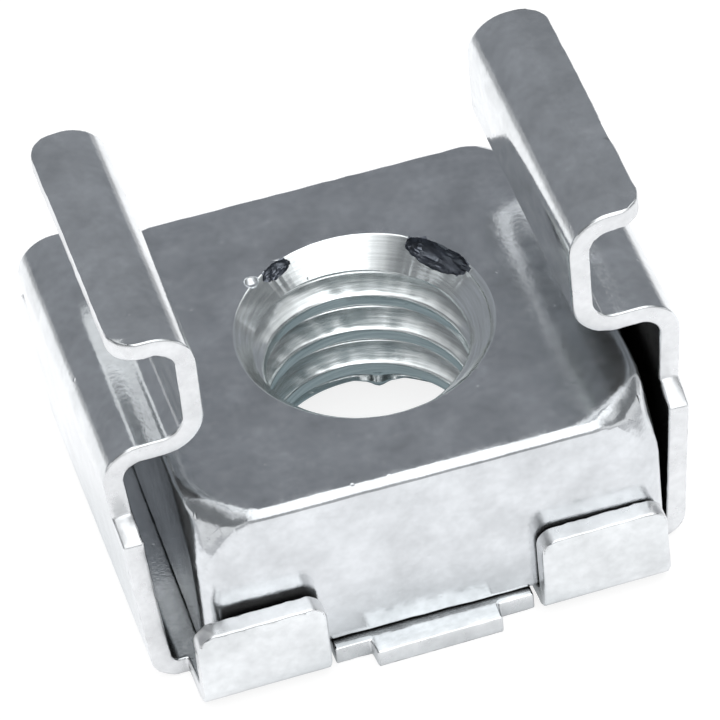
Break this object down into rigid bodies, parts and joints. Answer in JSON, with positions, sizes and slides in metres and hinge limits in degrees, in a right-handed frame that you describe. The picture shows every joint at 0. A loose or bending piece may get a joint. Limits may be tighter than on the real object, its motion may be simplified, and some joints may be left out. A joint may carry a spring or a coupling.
{
  "type": "rack cage nut",
  "caption": "Square threaded nut lying loose in a folded spring steel cage that clips into a rack's square hole.",
  "frame": {"origin": "middle of the base plate's underside", "axes": "+Z from the base plate up to the wings, the way a screw leaves; X from leg to leg; Y along the wings"},
  "size_m": [0.014, 0.012, 0.0101],
  "materials": {
    "nut_plating": "bright zinc plating over a cold-formed steel nut, with small specks and faint rub marks",
    "cage_plating": "bright zinc plating over folded spring steel sheet, with rough sheared edges"
  },
  "bodies": {
    "root": {"threaded_nut": "nut_plating", "spring_cage": "cage_plating"}
  },
  "joints": []
}
